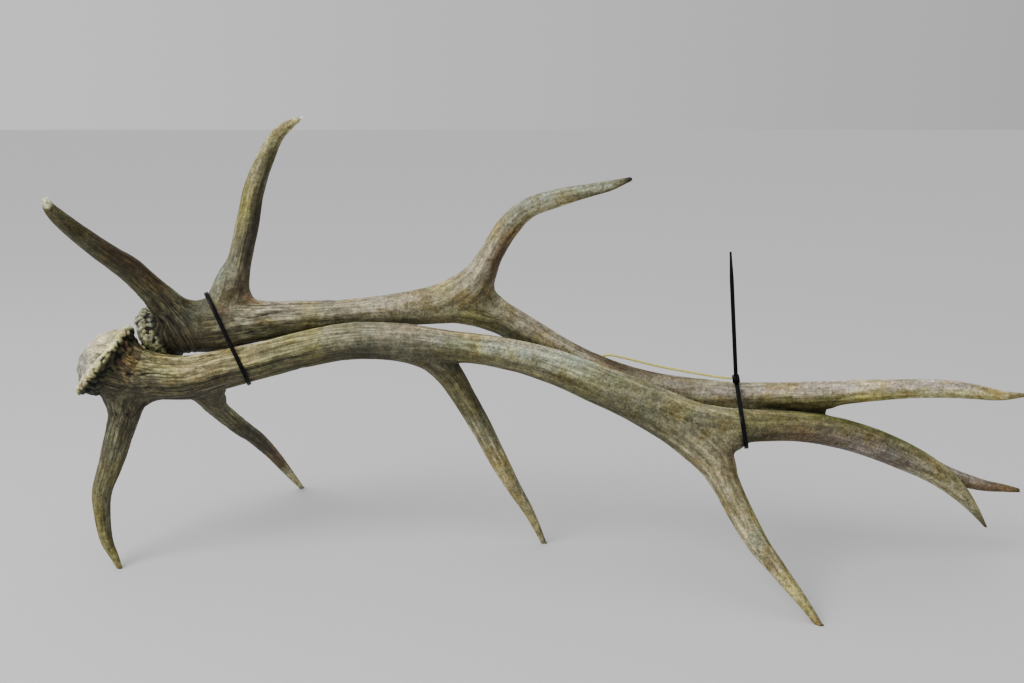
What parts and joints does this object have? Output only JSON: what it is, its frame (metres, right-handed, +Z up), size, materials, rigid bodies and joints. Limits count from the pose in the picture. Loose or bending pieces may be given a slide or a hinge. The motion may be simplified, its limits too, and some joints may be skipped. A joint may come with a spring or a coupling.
{
  "type": "antler pair bound with cable ties",
  "caption": "Matched pair of weathered elk antlers bound back to back with black cable ties, standing on the tine tips of the near one.",
  "frame": {"origin": "on the surface that the tine tips stand on, under the middle of the bounding box", "axes": "+Z up, +X along the beams from the burrs to the end tines, +Y from the near antler to the far one"},
  "size_m": [1.0794, 0.4289, 0.4994],
  "materials": {
    "beam_bone": "weathered grey-green and khaki antler bone with dark furrows and pale burrs",
    "tine_bone": "antler bone, furrowed at the base and smoother and paler towards the tip",
    "nylon": "black moulded nylon",
    "string": "thin pale yellow twine"
  },
  "bodies": {
    "root": {"near_beam": "beam_bone", "near_brow_tine": "tine_bone", "near_bez_tine": "tine_bone", "near_trez_tine": "tine_bone", "near_royal_tine": "tine_bone", "far_beam": "beam_bone", "far_brow_tine": "tine_bone", "far_bez_tine": "tine_bone", "far_trez_tine": "tine_bone", "far_royal_tine": "tine_bone", "burr_end_tie": "nylon", "fork_end_tie": "nylon", "yellow_string": "string"}
  },
  "joints": []
}
